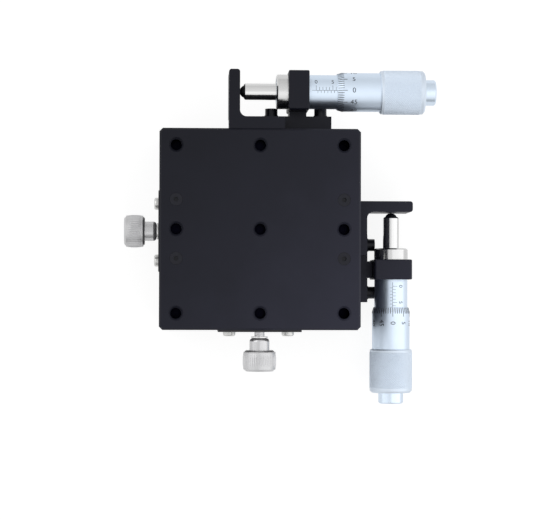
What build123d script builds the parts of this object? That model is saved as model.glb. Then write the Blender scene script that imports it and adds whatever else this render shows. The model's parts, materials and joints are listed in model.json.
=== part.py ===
from build123d import *
import math
import os

os.makedirs("parts", exist_ok=True)

# Two-axis translation stage: two identical crossed-roller stages, the upper one (x) bolted on the
# table of the lower one (y) and turned 90 degrees. Millimetres, +Z up, origin at the centre of the
# lower base's bottom face. Every piece is drawn once in a stage's own directions: u along its
# travel, w across it, towards the micrometer, and z up from the stage's bottom face.

# Plates
SIDE = 60.0
BASE_HEIGHT = 9.0
TABLE_HEIGHT = 8.6
PLATE_GAP = 0.4
PLATE_EDGE = 0.6
PLATE_CORNER = 1.0

# Crossed-roller guide
RIB_HALF = 6.0
RAIL_WIDTH = 5.5
RAIL_LENGTH = 54.0
RAIL_GAP = 1.0
FLOOR = 3.0
RELIEF = 0.6
RIB_CLEARANCE = 0.4
ROLLER_D = 2.0
ROLLER_LENGTH = 1.8
ROLLER_CLEARANCE = 0.03
ROLLER_COUNT = 6
ROLLER_PITCH = 7.0
CAGE_THICKNESS = 0.5
CAGE_HEIGHT = 4.8
CAGE_END = 3.0
WINDOW_CLEARANCE = 0.15

# Travel to each side of the middle
TRAVEL = 6.5

# Tapped holes in the table top and the clearance holes in the base, on one grid
MOUNT_SPACING = 50.0
TAP_D = 3.4
TAP_DEPTH = 5.0
TAP_CHAMFER = 0.55
MOUNT_HOLE_D = 4.5
MOUNT_BORE_D = 7.5
MOUNT_BORE_DEPTH = 4.4

# Screws: thread, head and key sizes; KEY_DEPTH is the key's share of the head's height
M4_D = 4.0
M4_HEAD_D = 7.0
M4_HEAD_HEIGHT = 4.0
M4_KEY = 3.0
M4_GRIP = 4.5
M2_D = 2.0
M2_HEAD_D = 3.8
M2_HEAD_HEIGHT = 2.0
M2_KEY = 1.5
M2_FLAT_KEY = 1.3
M25_D = 2.5
M25_HEAD_D = 4.4
M25_HEAD_HEIGHT = 2.4
M25_KEY = 2.0
KEY_DEPTH = 0.55
SCREW_CLEARANCE = 0.05
SEAT_CLEARANCE = 0.02
END_CLEARANCE = 0.1
SINK = 0.1
THREAD_RUNOUT = 0.2

# Rail, preload and bracket screws
TABLE_SCREW_U = 25.0
BASE_SCREW_U = 20.0
RAIL_SCREW_GRIP = 3.6
PRELOAD_D = 3.0
PRELOAD_LENGTH = 8.0
PRELOAD_KEY = 1.5
PRELOAD_WALL = 1.75

# Return spring
SPRING_D = 3.6
SPRING_WIRE = 0.5
SPRING_Z = 5.4
PIN_D = 1.5
PIN_U = 19.0
PIN_ABOVE_SPRING = 1.8
POCKET_SIDE_CLEARANCE = 0.8
POCKET_END_CLEARANCE = 0.6

# Stop bracket on the table's side
ARM_U = -6.1
ARM_THICKNESS = 3.3
ARM_REACH = 17.7
ARM_Z = 4.2
ARM_TIP_RADIUS = 0.8
FOOT_LENGTH = 13.4
FOOT_THICKNESS = 3.6
FOOT_BELOW_TOP = 0.5
FOOT_ABOVE_BASE = 0.9
FOOT_FILLET = 2.0
FOOT_SCREWS_U = (-2.4, 4.6)
FOOT_SCREW_GRIP = 3.0

# Micrometer bracket on the base's side
FLANGE_U = 0.8
FLANGE_LENGTH = 21.0
FLANGE_THICKNESS = 4.5
FLANGE_MARGIN = 0.4
BLOCK_U = 8.5
BLOCK_THICKNESS = 6.2
BLOCK_WIDTH = 11.8
BLOCK_TOP = 16.4
BLOCK_EDGE = 0.8
BLOCK_CORNER = 0.4
NECK_THICKNESS = 5.2
FLANGE_SCREW_SPACING = 15.0
FLANGE_SCREW_Z = 3.2
FLANGE_SCREW_GRIP = 6.0
FLANGE_WASHER_D = 4.2
FLANGE_WASHER_THICKNESS = 0.7
SLIT = 1.0
CLAMP_SCREW_Z = 2.5

# Micrometer head
HEAD_OFFSET = 11.8
HEAD_Z = 9.2
STEM_D = 9.5
NUT_D = 10.5
NUT_LENGTH = 3.5
NUT_THREAD_D = 8.0
NUT_EDGE = 0.4
SLEEVE_D = 10.3
SLEEVE_END = 34.0
SPINDLE_D = 5.0
SPINDLE_CLEARANCE = 0.05
SPINDLE_FRONT = 1.3
SPINDLE_NOSE = 0.4
FEED_THREAD_D = 6.0
FEED_THREAD_U = 22.0
BALL_D = 4.0
BALL_CLEARANCE = 0.03
THIMBLE_U = 23.3
THIMBLE_D = 11.7
THIMBLE_WALL_CLEARANCE = 0.1
THIMBLE_LIP = 0.15
THIMBLE_BEVEL = 1.6
GRIP_U = 36.4
GRIP_D = 13.1
GRIP_LENGTH = 13.5
GRIP_EDGE = 0.6
CAP_D = 7.8
CAP_LENGTH = 3.4
CAP_EDGE = 0.4
CAP_STUD_D = 4.0
CAP_STUD_LENGTH = 3.0

# Lock plate and lock screw on the side away from the micrometer
LOCK_PLATE_LENGTH = 25.0
LOCK_PLATE_THICKNESS = 0.6
LOCK_PLATE_BOTTOM = 1.8
LOCK_PLATE_TOP = 17.0
LOCK_PLATE_CORNER = 1.2
LOCK_PLATE_SCREW_SPACING = 17.8
LOCK_PLATE_SCREW_Z = 4.5
LOCK_PLATE_SCREW_GRIP = 4.5
PAN_HEAD_D = 3.8
PAN_HEAD_HEIGHT = 1.5
PAN_HEAD_ROUND = 0.65
CROSS_LENGTH = 2.3
CROSS_WIDTH = 0.6
CROSS_DEPTH = 0.75
LOCK_Z = 12.9
LOCK_D = 3.0
LOCK_REACH = 3.0
SLOT_CLEARANCE = 0.4
WASHER_D = 5.0
WASHER_THICKNESS = 0.4
WASHER_CLEARANCE = 0.05
NECK_D = 6.0
NECK_LENGTH = 3.65
NECK_ROUND = 1.1
KNOB_D = 9.7
KNOB_LENGTH = 6.3
KNOB_EDGE = 0.8
X_LOCK_OPEN = 1.4
Y_LOCK_OPEN = 0.1

# Worked out from the sizes above
HALF = SIDE / 2
TABLE_BOTTOM = BASE_HEIGHT + PLATE_GAP
STAGE_HEIGHT = TABLE_BOTTOM + TABLE_HEIGHT
RAIL_HEIGHT = BASE_HEIGHT - FLOOR
RAIL_Z = FLOOR + RAIL_HEIGHT / 2
INNER_RAIL_W = RIB_HALF + RAIL_WIDTH / 2
CAGE_W = RIB_HALF + RAIL_WIDTH + RAIL_GAP / 2
OUTER_RAIL_W = CAGE_W + RAIL_GAP / 2 + RAIL_WIDTH / 2
CHANNEL_HALF = OUTER_RAIL_W + RAIL_WIDTH / 2
MOUNT = MOUNT_SPACING / 2
PRELOAD_U = MOUNT - MOUNT_BORE_D / 2 - PRELOAD_WALL - PRELOAD_D / 2
HEAD_W = HALF + HEAD_OFFSET
THIMBLE_BORE_D = SLEEVE_D + 2 * THIMBLE_WALL_CLEARANCE
GRIP_END = GRIP_U + GRIP_LENGTH

ACROSS = (0, 1, 0)
BACK = (0, -1, 0)
UP = (0, 0, 1)
DOWN = (0, 0, -1)


def block(u, w, z):
    """A box from its limits (low, high) along u, w and z."""
    size = [high - low for low, high in (u, w, z)]
    middle = [(high + low) / 2 for low, high in (u, w, z)]
    return Pos(*middle) * Box(*size)


def at(point, direction):
    return Plane(origin=point, z_dir=direction).location


def rod(point, direction, diameter, length):
    """A cylinder that starts at point and runs along direction."""
    cylinder = Cylinder(diameter / 2, length, align=(Align.CENTER, Align.CENTER, Align.MIN))
    return at(point, direction) * cylinder


def taper(point, direction, start_d, end_d, length):
    cone = Cone(start_d / 2, end_d / 2, length, align=(Align.CENTER, Align.CENTER, Align.MIN))
    return at(point, direction) * cone


def turned(outline):
    """A solid of revolution about +X from (along, radius) points."""
    return revolve(make_face(Polyline(*[(a, r) for a, r in outline], close=True)), Axis.X)


def bar(outline, u):
    """A (w, z) outline drawn out along u."""
    face = Plane.YZ.offset(u[0]) * make_face(Polyline(*outline, close=True))
    return extrude(face, u[1] - u[0])


def prism(outline, z):
    """A (u, w) outline drawn out along z."""
    face = Plane.XY.offset(z[0]) * make_face(Polyline(*outline, close=True))
    return extrude(face, z[1] - z[0])


def both(values):
    return [(a, b) for a in values for b in values]


def key(point, direction, across_flats, depth):
    """The hexagonal recess of a screw, cut from its head's top face inwards."""
    hexagon = RegularPolygon(across_flats / 2, 6, major_radius=False)
    return extrude(at(point, direction) * hexagon, depth)


def cap_screw(seat, direction, thread_d, grip, head_d, head_height, across_flats):
    """A socket head cap screw: seat is under the head, direction points from head to tip."""
    outwards = Vector(*direction) * -1
    top = Vector(*seat) + outwards * head_height
    screw = rod(seat, direction, thread_d, grip) + rod(seat, outwards, head_d, head_height)
    return screw - key(top, direction, across_flats, head_height * KEY_DEPTH)


def flat_screw(face, direction, thread_d, grip, head_d, across_flats):
    """A countersunk screw whose head lies just under the surface that holds face."""
    start = Vector(*face) + Vector(*direction) * SINK
    depth = (head_d - thread_d) / 2
    head = taper(start, direction, head_d, thread_d, depth)
    shank = rod(start, direction, thread_d, grip - SINK)
    return head + shank - key(start, direction, across_flats, depth)


def flat_hole(face, direction, thread_d, depth, head_d):
    """The hole for a flat_screw."""
    wide = 2 * SCREW_CLEARANCE
    start = Vector(*face) + Vector(*direction) * SINK
    sink = taper(start, direction, head_d + wide, thread_d + wide, (head_d - thread_d) / 2)
    return sink + rod(face, direction, head_d + wide, SINK) + rod(face, direction, thread_d + wide, depth)


def screw_hole(face, direction, thread_d, depth):
    return rod(face, direction, thread_d + 2 * SCREW_CLEARANCE, depth)


def plate(z):
    """A square plate with its four upright corners cut off."""
    body = block((-HALF, HALF), (-HALF, HALF), z)
    return chamfer(body.edges().filter_by(Axis.Z), PLATE_CORNER)


def table_screw_places():
    return [(u, w) for u in (-TABLE_SCREW_U, TABLE_SCREW_U) for w in (-INNER_RAIL_W, INNER_RAIL_W)]


def base_screw_places():
    return [(u, w) for u in (-BASE_SCREW_U, BASE_SCREW_U) for w in (-OUTER_RAIL_W, OUTER_RAIL_W)]


def flange_screws_u():
    middle = FLANGE_U + FLANGE_LENGTH / 2
    return [middle - FLANGE_SCREW_SPACING / 2, middle + FLANGE_SCREW_SPACING / 2]


def lock_plate_screws_u():
    return [-LOCK_PLATE_SCREW_SPACING / 2, LOCK_PLATE_SCREW_SPACING / 2]


def foot_z():
    return (BASE_HEIGHT + FOOT_ABOVE_BASE, STAGE_HEIGHT - FOOT_BELOW_TOP)


def foot_screw_z():
    return sum(foot_z()) / 2


def flange_z():
    return (FLANGE_MARGIN, BASE_HEIGHT - FLANGE_MARGIN)


# ---------------------------------------------------------------- plates


def base():
    """The lower plate: a U section whose channel holds the outer rails against its walls."""
    body = plate((0, BASE_HEIGHT))
    body = chamfer(body.edges().group_by(Axis.Z)[-1], PLATE_EDGE / 2)
    middle = CAGE_W + RAIL_GAP / 2 - CAGE_THICKNESS / 2
    body -= block((-HALF, HALF), (-CHANNEL_HALF, CHANNEL_HALF), (FLOOR, BASE_HEIGHT))
    body -= block((-HALF, HALF), (-middle, middle), (FLOOR - RELIEF, FLOOR))
    for u, w in both((-MOUNT, MOUNT)):
        body -= rod((u, w, 0), UP, MOUNT_HOLE_D, BASE_HEIGHT)
        body -= rod((u, w, BASE_HEIGHT), DOWN, MOUNT_BORE_D, MOUNT_BORE_DEPTH)
    for u, w in base_screw_places():
        body -= flat_hole((u, w, 0), UP, M2_D, FLOOR, M2_HEAD_D)
    for u in flange_screws_u():
        body -= screw_hole((u, HALF, FLANGE_SCREW_Z), BACK, M2_D, FLANGE_SCREW_GRIP + THREAD_RUNOUT)
    for u in lock_plate_screws_u():
        place = (u, -HALF, LOCK_PLATE_SCREW_Z)
        body -= screw_hole(place, ACROSS, M2_D, LOCK_PLATE_SCREW_GRIP + THREAD_RUNOUT)
    for u in (-PRELOAD_U, PRELOAD_U):
        body -= screw_hole((u, -HALF, RAIL_Z), ACROSS, PRELOAD_D, HALF - CHANNEL_HALF)
    return body - rod((PIN_U, 0, 0), UP, PIN_D, FLOOR)


def table():
    """The upper plate, with the rib that carries the inner rails and hides the return spring."""
    body = plate((TABLE_BOTTOM, STAGE_HEIGHT))
    body = chamfer(body.edges().group_by(Axis.Z)[-1], PLATE_EDGE)
    rib_bottom = FLOOR - RELIEF + RIB_CLEARANCE
    seat = RIB_HALF + RAIL_WIDTH
    body += block((-HALF, HALF), (-RIB_HALF, RIB_HALF), (rib_bottom, TABLE_BOTTOM))
    body += block((-HALF, HALF), (-seat, seat), (BASE_HEIGHT, TABLE_BOTTOM))
    pocket_half = SPRING_D / 2 + POCKET_SIDE_CLEARANCE
    pocket_end = PIN_U + TRAVEL + PIN_D / 2 + POCKET_END_CLEARANCE
    pocket_top = SPRING_Z + PIN_ABOVE_SPRING + POCKET_SIDE_CLEARANCE
    body -= block((-pocket_end, pocket_end), (-pocket_half, pocket_half), (rib_bottom, pocket_top))
    body -= rod((-PIN_U, -RIB_HALF, SPRING_Z), ACROSS, PIN_D, 2 * RIB_HALF)
    for u, w in both((-MOUNT, 0, MOUNT)):
        corner = u and w
        depth = TABLE_HEIGHT if corner else TAP_DEPTH
        body -= rod((u, w, STAGE_HEIGHT), DOWN, TAP_D, depth)
        body -= taper((u, w, STAGE_HEIGHT), DOWN, TAP_D + 2 * TAP_CHAMFER, TAP_D, TAP_CHAMFER)
    for u, w in table_screw_places():
        depth = STAGE_HEIGHT - BASE_HEIGHT
        body -= flat_hole((u, w, STAGE_HEIGHT), DOWN, M2_D, depth, M2_HEAD_D)
    for u in FOOT_SCREWS_U:
        place = (u, HALF, foot_screw_z())
        body -= screw_hole(place, BACK, M25_D, FOOT_SCREW_GRIP + THREAD_RUNOUT)
    return body - screw_hole((0, -HALF, LOCK_Z), ACROSS, LOCK_D, LOCK_REACH + THREAD_RUNOUT)


def stack_screws():
    """Four M4 screws that hold the upper stage's base to the lower stage's table."""
    seat = BASE_HEIGHT - MOUNT_BORE_DEPTH
    screws = []
    for u, w in both((-MOUNT, MOUNT)):
        core = TAP_D - 2 * SCREW_CLEARANCE
        screw = cap_screw((u, w, seat), DOWN, M4_D, seat, M4_HEAD_D, M4_HEAD_HEIGHT, M4_KEY)
        screws.append(screw + rod((u, w, 0), DOWN, core, M4_GRIP))
    return screws


# ---------------------------------------------------------------- roller guide


def rail(side, inner):
    """One rail with its 90 degree groove facing the rollers; side is +1 or -1 across the stage."""
    facing = 1 if inner else -1
    middle = INNER_RAIL_W if inner else OUTER_RAIL_W
    face = middle + facing * RAIL_WIDTH / 2
    back = middle - facing * RAIL_WIDTH / 2
    depth = math.sqrt(2) * (ROLLER_D / 2 + ROLLER_CLEARANCE) - RAIL_GAP / 2
    outline = [
        (back, FLOOR),
        (face, FLOOR),
        (face, RAIL_Z - depth),
        (face - facing * depth, RAIL_Z),
        (face, RAIL_Z + depth),
        (face, BASE_HEIGHT),
        (back, BASE_HEIGHT),
    ]
    body = bar([(side * w, z) for w, z in outline], (-RAIL_LENGTH / 2, RAIL_LENGTH / 2))
    places = table_screw_places() if inner else base_screw_places()
    start, direction = (BASE_HEIGHT, DOWN) if inner else (FLOOR, UP)
    for u, w in places:
        if w * side > 0:
            body -= screw_hole((u, w, start), direction, M2_D, RAIL_SCREW_GRIP + THREAD_RUNOUT)
    return body


def rollers_u():
    first = -ROLLER_PITCH * (ROLLER_COUNT - 1) / 2
    return [first + i * ROLLER_PITCH for i in range(ROLLER_COUNT)]


def rollers():
    """Rollers that lean 45 degrees, each one crossed with the next."""
    found = []
    for side in (-1, 1):
        for i, u in enumerate(rollers_u()):
            lean = (0, 1, 1) if i % 2 else (0, 1, -1)
            roller = Cylinder(ROLLER_D / 2, ROLLER_LENGTH)
            found.append(at((u, side * CAGE_W, RAIL_Z), lean) * roller)
    return found


def cages():
    """Two thin strips with a window round each roller."""
    reach = ROLLER_PITCH * (ROLLER_COUNT - 1) / 2 + CAGE_END
    window_u = ROLLER_D / 2 + WINDOW_CLEARANCE
    window_z = (ROLLER_D + ROLLER_LENGTH) / 2 / math.sqrt(2) + WINDOW_CLEARANCE
    found = []
    for side in (-1, 1):
        thick = (side * CAGE_W - CAGE_THICKNESS / 2, side * CAGE_W + CAGE_THICKNESS / 2)
        strip = block((-reach, reach), thick, (RAIL_Z - CAGE_HEIGHT / 2, RAIL_Z + CAGE_HEIGHT / 2))
        for u in rollers_u():
            strip -= block((u - window_u, u + window_u), thick, (RAIL_Z - window_z, RAIL_Z + window_z))
        found.append(strip)
    return found


def table_rail_screws():
    grip = TABLE_HEIGHT + PLATE_GAP + RAIL_SCREW_GRIP
    return [
        flat_screw((u, w, STAGE_HEIGHT), DOWN, M2_D, grip, M2_HEAD_D, M2_FLAT_KEY)
        for u, w in table_screw_places()
    ]


def base_rail_screws():
    return [
        flat_screw((u, w, 0), UP, M2_D, FLOOR + RAIL_SCREW_GRIP, M2_HEAD_D, M2_FLAT_KEY)
        for u, w in base_screw_places()
    ]


def preload_screws():
    """Set screws that press one outer rail towards the rollers."""
    found = []
    outer_end = -CHANNEL_HALF - PRELOAD_LENGTH
    for u in (-PRELOAD_U, PRELOAD_U):
        screw = rod((u, outer_end, RAIL_Z), ACROSS, PRELOAD_D, PRELOAD_LENGTH)
        found.append(screw - key((u, outer_end, RAIL_Z), ACROSS, PRELOAD_KEY, PRELOAD_KEY))
    return found


# ---------------------------------------------------------------- return spring


def base_spring_pin():
    return rod((PIN_U, 0, 0), UP, PIN_D, SPRING_Z + PIN_ABOVE_SPRING)


def table_spring_pin():
    return rod((-PIN_U, -RIB_HALF, SPRING_Z), ACROSS, PIN_D, 2 * RIB_HALF)


def return_spring():
    """The close-wound tension spring as its envelope, with an eye round each pin."""
    eye = PIN_D / 2 + SPRING_WIRE / 2 + SCREW_CLEARANCE
    end = PIN_U - eye - SPRING_D / 2
    body = rod((-end, 0, SPRING_Z), (1, 0, 0), SPRING_D, 2 * end)
    body += rod((-PIN_U + eye, 0, SPRING_Z), (1, 0, 0), SPRING_WIRE, 2 * (PIN_U - eye))
    body += Pos(PIN_U, 0, SPRING_Z) * Torus(eye, SPRING_WIRE / 2)
    return body + at((-PIN_U, 0, SPRING_Z), ACROSS) * Torus(eye, SPRING_WIRE / 2)


# ---------------------------------------------------------------- brackets


def stop_bracket():
    """The L-shaped stop on the table: its foot is screwed on, its arm meets the spindle."""
    arm_back = ARM_U - ARM_THICKNESS
    foot_end = arm_back + ARM_THICKNESS + FOOT_LENGTH
    foot = HALF + FOOT_THICKNESS
    tip = HALF + ARM_REACH
    outline = [(arm_back, HALF), (foot_end, HALF), (foot_end, foot), (ARM_U, foot), (ARM_U, tip), (arm_back, tip)]
    body = prism(outline, foot_z())
    inner = body.edges().filter_by(Axis.Z).sort_by_distance((ARM_U, foot, foot_screw_z()))[0]
    body = fillet(inner, FOOT_FILLET)
    body += block((arm_back, ARM_U), (foot, tip), (ARM_Z, foot_z()[0]))
    body = fillet(body.edges().filter_by(Axis.Z).group_by(Axis.Y)[-1], ARM_TIP_RADIUS)
    for u in FOOT_SCREWS_U:
        place = (u, foot, foot_screw_z())
        body -= screw_hole(place, BACK, M25_D, FOOT_THICKNESS)
        body -= screw_hole(place, BACK, M25_HEAD_D, M25_HEAD_HEIGHT)
    return body


def stop_bracket_screws():
    seat = HALF + FOOT_THICKNESS - M25_HEAD_HEIGHT
    grip = FOOT_THICKNESS - M25_HEAD_HEIGHT + FOOT_SCREW_GRIP
    return [
        cap_screw((u, seat, foot_screw_z()), BACK, M25_D, grip, M25_HEAD_D, M25_HEAD_HEIGHT, M25_KEY)
        for u in FOOT_SCREWS_U
    ]


def micrometer_bracket():
    """A flange on the base's side, a neck, and a block whose slit closes on the stem."""
    low, high = flange_z()
    block_u = (BLOCK_U, BLOCK_U + BLOCK_THICKNESS)
    block_w = (HEAD_W - BLOCK_WIDTH / 2, HEAD_W + BLOCK_WIDTH / 2)
    neck_middle = BLOCK_U + BLOCK_THICKNESS / 2
    neck_u = (neck_middle - NECK_THICKNESS / 2, neck_middle + NECK_THICKNESS / 2)
    body = block(block_u, block_w, (low, BLOCK_TOP))
    body = fillet(body.edges().filter_by(Axis.X), BLOCK_EDGE)
    body = fillet(body.edges().filter_by(Axis.Z).group_by(Axis.Y)[-1], BLOCK_CORNER)
    body += block(neck_u, (HALF + FLANGE_THICKNESS, HEAD_W - BLOCK_WIDTH / 2 + BLOCK_EDGE), (low, high))
    flange = block((FLANGE_U, FLANGE_U + FLANGE_LENGTH), (HALF, HALF + FLANGE_THICKNESS), (low, high))
    body += flange
    body -= rod((BLOCK_U, HEAD_W, HEAD_Z), (1, 0, 0), STEM_D, BLOCK_THICKNESS)
    body -= block(block_u, (HEAD_W - SLIT / 2, HEAD_W + SLIT / 2), (low, HEAD_Z))
    for u in flange_screws_u():
        place = (u, HALF + FLANGE_THICKNESS, FLANGE_SCREW_Z)
        body -= screw_hole(place, BACK, M2_D, FLANGE_THICKNESS)
    place = (neck_middle, block_w[1], CLAMP_SCREW_Z)
    body -= screw_hole(place, BACK, M2_D, clamp_screw_grip() + THREAD_RUNOUT)
    return body - screw_hole(place, BACK, M2_HEAD_D, M2_HEAD_HEIGHT)


def clamp_screw_grip():
    return BLOCK_WIDTH - M2_HEAD_HEIGHT


def clamp_screw():
    """The screw across the slit, with its head sunk in the block's outer side."""
    seat = (BLOCK_U + BLOCK_THICKNESS / 2, HEAD_W + BLOCK_WIDTH / 2 - M2_HEAD_HEIGHT, CLAMP_SCREW_Z)
    return cap_screw(seat, BACK, M2_D, clamp_screw_grip() - M2_HEAD_HEIGHT, M2_HEAD_D, M2_HEAD_HEIGHT, M2_KEY)


def bracket_screws():
    """The flange's screws, each with its spring washer."""
    face = HALF + FLANGE_THICKNESS
    seat = face + FLANGE_WASHER_THICKNESS
    grip = seat - HALF + FLANGE_SCREW_GRIP
    found = []
    for u in flange_screws_u():
        place = (u, seat, FLANGE_SCREW_Z)
        screw = cap_screw(place, BACK, M2_D, grip, M2_HEAD_D, M2_HEAD_HEIGHT, M2_KEY)
        found.append(screw + rod(place, BACK, FLANGE_WASHER_D, FLANGE_WASHER_THICKNESS))
    return found


# ---------------------------------------------------------------- micrometer head


def on_head_axis(body):
    return Pos(0, HEAD_W, HEAD_Z) * body


def sleeve():
    """The stem held in the bracket, and the graduated sleeve behind it, bored for the spindle."""
    front = BLOCK_U - NUT_LENGTH + END_CLEARANCE
    shoulder = BLOCK_U + BLOCK_THICKNESS
    thread = NUT_THREAD_D / 2 - SEAT_CLEARANCE
    guide = SPINDLE_D / 2 + SPINDLE_CLEARANCE
    feed = FEED_THREAD_D / 2 + SPINDLE_CLEARANCE
    feed_start = FEED_THREAD_U - TRAVEL - END_CLEARANCE
    outline = [
        (front, guide),
        (front, thread),
        (BLOCK_U, thread),
        (BLOCK_U, STEM_D / 2 - SEAT_CLEARANCE),
        (shoulder, STEM_D / 2 - SEAT_CLEARANCE),
        (shoulder, SLEEVE_D / 2),
        (SLEEVE_END, SLEEVE_D / 2),
        (SLEEVE_END, feed),
        (feed_start, feed),
        (feed_start, guide),
    ]
    return on_head_axis(turned(outline))


def stem_nut():
    """The ring that pulls the sleeve's shoulder against the bracket."""
    front = BLOCK_U - NUT_LENGTH
    outline = [
        (front, NUT_THREAD_D / 2),
        (front, NUT_D / 2 - NUT_EDGE),
        (front + NUT_EDGE, NUT_D / 2),
        (BLOCK_U, NUT_D / 2),
        (BLOCK_U, NUT_THREAD_D / 2),
    ]
    return on_head_axis(turned(outline))


def ball_middle():
    return ARM_U + BALL_CLEARANCE + BALL_D / 2


def contact_ball():
    """The hard ball at the spindle's tip."""
    return on_head_axis(Pos(ball_middle(), 0, 0) * Sphere(BALL_D / 2))


def spindle():
    """The plain front of the spindle, with the feed thread behind it."""
    front = ARM_U + SPINDLE_FRONT
    end = GRIP_END - CAP_STUD_LENGTH
    radius = SPINDLE_D / 2
    outline = [
        (front, 0),
        (front, radius - SPINDLE_NOSE),
        (front + SPINDLE_NOSE, radius),
        (FEED_THREAD_U, radius),
        (FEED_THREAD_U, FEED_THREAD_D / 2),
        (end, FEED_THREAD_D / 2),
        (end, 0),
    ]
    socket = Pos(ball_middle(), 0, 0) * Sphere(BALL_D / 2 + BALL_CLEARANCE)
    return on_head_axis(turned(outline) - socket)


def thimble():
    """The graduated thimble with its wider grip, bored to run over the sleeve."""
    bore = THIMBLE_BORE_D / 2
    bottom = SLEEVE_END + TRAVEL + END_CLEARANCE
    spindle_bore = FEED_THREAD_D / 2 + SEAT_CLEARANCE
    outline = [
        (THIMBLE_U, bore),
        (THIMBLE_U, bore + THIMBLE_LIP),
        (THIMBLE_U + THIMBLE_BEVEL, THIMBLE_D / 2),
        (GRIP_U, THIMBLE_D / 2),
        (GRIP_U, GRIP_D / 2 - GRIP_EDGE / 2),
        (GRIP_U + GRIP_EDGE / 2, GRIP_D / 2),
        (GRIP_END - GRIP_EDGE, GRIP_D / 2),
        (GRIP_END, GRIP_D / 2 - GRIP_EDGE),
        (GRIP_END, spindle_bore),
        (bottom, spindle_bore),
        (bottom, bore),
    ]
    return on_head_axis(turned(outline))


def thimble_cap():
    """The small cap that closes the thimble's end on the spindle."""
    end = GRIP_END + CAP_LENGTH
    stud = GRIP_END - CAP_STUD_LENGTH
    outline = [
        (stud, 0),
        (stud, CAP_STUD_D / 2),
        (GRIP_END, CAP_STUD_D / 2),
        (GRIP_END, CAP_D / 2),
        (end - CAP_EDGE, CAP_D / 2),
        (end, CAP_D / 2 - CAP_EDGE),
        (end, 0),
    ]
    return on_head_axis(turned(outline))


# ---------------------------------------------------------------- lock


def lock_plate():
    """A thin plate on the base whose slot lets the table's lock screw travel."""
    u = (-LOCK_PLATE_LENGTH / 2, LOCK_PLATE_LENGTH / 2)
    w = (-HALF - LOCK_PLATE_THICKNESS, -HALF)
    body = block(u, w, (LOCK_PLATE_BOTTOM, LOCK_PLATE_TOP))
    body = fillet(body.edges().filter_by(Axis.Y), LOCK_PLATE_CORNER)
    width = LOCK_D + SLOT_CLEARANCE
    half_width = width / 2
    body -= block((-TRAVEL, TRAVEL), w, (LOCK_Z - half_width, LOCK_Z + half_width))
    for u in (-TRAVEL, TRAVEL):
        body -= rod((u, -HALF, LOCK_Z), BACK, width, LOCK_PLATE_THICKNESS)
    for u in lock_plate_screws_u():
        body -= screw_hole((u, -HALF, LOCK_PLATE_SCREW_Z), BACK, M2_D, LOCK_PLATE_THICKNESS)
    return body


def lock_plate_screws():
    """Two pan head screws with a cross slot."""
    found = []
    for u in lock_plate_screws_u():
        seat = (u, -HALF - LOCK_PLATE_THICKNESS, LOCK_PLATE_SCREW_Z)
        top = (u, seat[1] - PAN_HEAD_HEIGHT, LOCK_PLATE_SCREW_Z)
        head = rod(seat, BACK, PAN_HEAD_D, PAN_HEAD_HEIGHT)
        head = fillet(head.edges().group_by(Axis.Y)[0], PAN_HEAD_ROUND)
        screw = head + rod(seat, ACROSS, M2_D, LOCK_PLATE_THICKNESS + LOCK_PLATE_SCREW_GRIP)
        slot = Box(CROSS_LENGTH, CROSS_WIDTH, 2 * CROSS_DEPTH)
        cross = slot + Rot(0, 0, 90) * slot
        found.append(screw - at(top, BACK) * cross)
    return found


def lock_face(open_by):
    """How far from the plate's outer face the washer's inner face stands, on the w axis."""
    return -HALF - LOCK_PLATE_THICKNESS - open_by


def lock_washer(open_by):
    start = (0, lock_face(open_by), LOCK_Z)
    ring = rod(start, BACK, WASHER_D, WASHER_THICKNESS)
    return ring - rod(start, BACK, LOCK_D + 2 * SCREW_CLEARANCE, WASHER_THICKNESS)


def lock_screw(open_by):
    """The lock screw: shank, neck and round knob, turned about its axis."""
    neck = WASHER_THICKNESS + WASHER_CLEARANCE
    knob = neck + NECK_LENGTH
    end = knob + KNOB_LENGTH
    outline = [
        (-LOCK_PLATE_THICKNESS - LOCK_REACH, 0),
        (-LOCK_PLATE_THICKNESS - LOCK_REACH, LOCK_D / 2),
        (neck, LOCK_D / 2),
        (neck, NECK_D / 2),
        (knob, NECK_D / 2),
        (knob, KNOB_D / 2 - KNOB_EDGE),
        (knob + KNOB_EDGE, KNOB_D / 2),
        (end - KNOB_EDGE, KNOB_D / 2),
        (end, KNOB_D / 2 - KNOB_EDGE),
        (end, 0),
    ]
    body = Rot(0, 0, -90) * turned(outline)
    shoulder = body.edges().filter_by(GeomType.CIRCLE).sort_by_distance((0, -neck, 0))
    body = fillet([e for e in shoulder if abs(e.radius - NECK_D / 2) < SINK][0], NECK_ROUND)
    return Pos(0, lock_face(open_by), LOCK_Z) * body


# ---------------------------------------------------------------- the two stages


def stage(open_by):
    """Every piece of one stage by name, in the stage's own directions."""
    return {
        "base": base(),
        "table": table(),
        "outer_rail_micrometer_side": rail(1, inner=False),
        "outer_rail_lock_side": rail(-1, inner=False),
        "inner_rail_micrometer_side": rail(1, inner=True),
        "inner_rail_lock_side": rail(-1, inner=True),
        "roller_cages": cages(),
        "rollers": rollers(),
        "table_rail_screws": table_rail_screws(),
        "base_rail_screws": base_rail_screws(),
        "preload_screws": preload_screws(),
        "return_spring": return_spring(),
        "base_spring_pin": base_spring_pin(),
        "table_spring_pin": table_spring_pin(),
        "stop_bracket": stop_bracket(),
        "stop_bracket_screws": stop_bracket_screws(),
        "micrometer_bracket": micrometer_bracket(),
        "bracket_screws": bracket_screws(),
        "clamp_screw": clamp_screw(),
        "sleeve": sleeve(),
        "stem_nut": stem_nut(),
        "spindle": spindle(),
        "contact_ball": contact_ball(),
        "thimble": thimble(),
        "thimble_cap": thimble_cap(),
        "lock_plate": lock_plate(),
        "lock_plate_screws": lock_plate_screws(),
        "lock_screw": lock_screw(open_by),
        "lock_washer": lock_washer(open_by),
    }


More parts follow.
